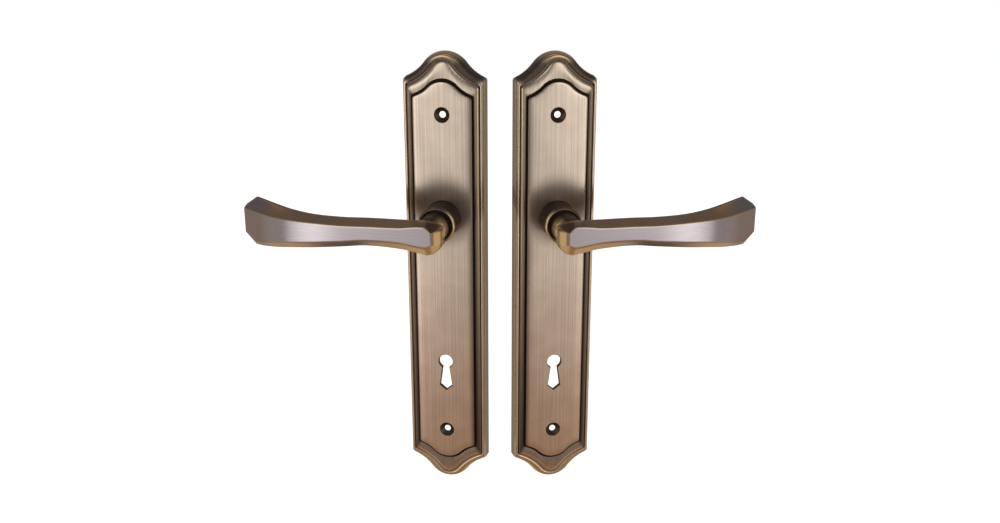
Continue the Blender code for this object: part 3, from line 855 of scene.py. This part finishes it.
def make_world():
    """A studio seen in the metal: two leaning side softboxes, dim walls and a warm floor.

    The camera itself sees plain white.
    """
    world = bpy.data.worlds.new("studio")
    bpy.context.scene.world = world
    tree = Tree(world)
    direction = tree.nodes.new("ShaderNodeTexCoord").outputs["Generated"]
    x, y, z = tree.split(direction)
    degrees = 180.0 / math.pi
    aside = tree.math("ARCTAN2", tree.math("ABSOLUTE", x), tree.math("MULTIPLY", y, -1.0))
    aside = tree.math("MULTIPLY", aside, degrees)
    height = tree.math("MULTIPLY", tree.math("ARCSINE", z), degrees)
    lean = tree.math("MULTIPLY", tree.math("ADD", height, -BOX_LEAN_FROM), BOX_LEAN)
    leaning = tree.math("ADD", aside, lean)
    box = tree.math(
        "MULTIPLY", tree.window(leaning, *BOX_SIDES), tree.window(height, *BOX_HEIGHTS)
    )
    room = tree.colour(tree.ramp(height, -30.0, -14.0), rgb(0.33, 0.215, 0.14), rgb(0.24, 0.22, 0.21))
    room = tree.colour(tree.ramp(height, 15.0, 45.0), room, rgb(0.16, 0.14, 0.13))
    room = tree.colour(tree.ramp(height, 66.0, 80.0), room, rgb(0.46, 0.31, 0.19))
    side_wall = tree.window(aside, *WALL_SIDES)
    side_wall = tree.math("MULTIPLY", side_wall, tree.ramp(height, 35.0, 10.0))
    room = tree.colour(side_wall, room, rgb(0.56, 0.46, 0.35))
    glow = tree.colour(tree.ramp(height, -30.0, -17.0), rgb(1.20, 0.85, 0.60), rgb(1.45, 1.40, 1.30))
    light = tree.colour(box, room, glow)
    background = tree.nodes["Background"]
    tree.put(background.inputs["Color"], light)
    backdrop = tree.nodes.new("ShaderNodeBackground")
    backdrop.inputs["Color"].default_value = rgb(1.0, 1.0, 1.0)
    seen = tree.nodes.new("ShaderNodeLightPath").outputs["Is Camera Ray"]
    mix = tree.nodes.new("ShaderNodeMixShader")
    tree.put(mix.inputs[0], seen)
    tree.links.new(background.outputs[0], mix.inputs[1])
    tree.links.new(backdrop.outputs[0], mix.inputs[2])
    tree.links.new(mix.outputs[0], tree.nodes["World Output"].inputs["Surface"])


def make_floor():
    """A plain pale floor well below the plates, left out of the metal's reflections."""
    form = bmesh.new()
    bmesh.ops.create_grid(form, x_segments=2, y_segments=2, size=3.0)
    mesh = bpy.data.meshes.new("studio_floor")
    form.to_mesh(mesh)
    form.free()
    pale = bpy.data.materials.new("pale_floor")
    tree = Tree(pale)
    shader = tree.nodes["Principled BSDF"]
    cloud = tree.stretched((1.0, 1.0, 1.0), 3.0)
    tree.put(
        shader.inputs["Base Color"],
        tree.colour(cloud, rgb(0.90, 0.90, 0.90), rgb(0.94, 0.94, 0.94)),
    )
    shader.inputs["Roughness"].default_value = 0.9
    shader.inputs["Emission Color"].default_value = rgb(1.0, 1.0, 1.0)
    shader.inputs["Emission Strength"].default_value = 0.9
    mesh.materials.append(pale)
    floor = bpy.data.objects.new("studio_floor", mesh)
    bpy.context.scene.collection.objects.link(floor)
    floor.location.z = FLOOR_UP
    floor.visible_glossy = False
    floor.visible_diffuse = False


def make_camera():
    data = bpy.data.cameras.new("camera")
    data.sensor_width = 36.0
    data.lens = CAMERA_LENS
    data.clip_start = 0.01
    camera = bpy.data.objects.new("camera", data)
    bpy.context.scene.collection.objects.link(camera)
    down = math.radians(CAMERA_DOWN)
    back = Vector((0.0, -math.cos(down), math.sin(down)))
    camera.location = Vector(CAMERA_TARGET) + back * CAMERA_DISTANCE
    camera.rotation_euler = (math.radians(90.0) - down, 0.0, 0.0)
    bpy.context.scene.camera = camera


def hold(piece, body, node):
    """The piece rides on a body and stands for a CAD node, which is hidden."""
    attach(piece, body)
    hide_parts(node)


def finish_cad_nodes():
    """Every CAD node gets the procedural material of its slot and smooth shading."""
    finishes = {"zinc_steel": ZINC, "nylon": NYLON, "antique_bronze": TURNED}
    slots = {part["node"]: part["material_slot"] for part in frame["record"]["subparts"]}
    for name, node in frame["nodes"].items():
        node.data.materials.clear()
        node.data.materials.append(finishes[slots[name]])
        node.data.shade_smooth()
        node.data.set_sharp_from_angle(angle=math.radians(35.0))


make_camera()
make_world()
make_floor()
bpy.context.scene.view_settings.view_transform = "Standard"
finish_cad_nodes()
for side in (LEFT, RIGHT):
    hand = HAND[side]
    hold(make_plate(side), "plates", hand + "_backplate")
    hold(make_collar(side), "plates", hand + "_boss_collar")
    hold(make_lever(side), hand + "_lever_group", hand + "_lever")
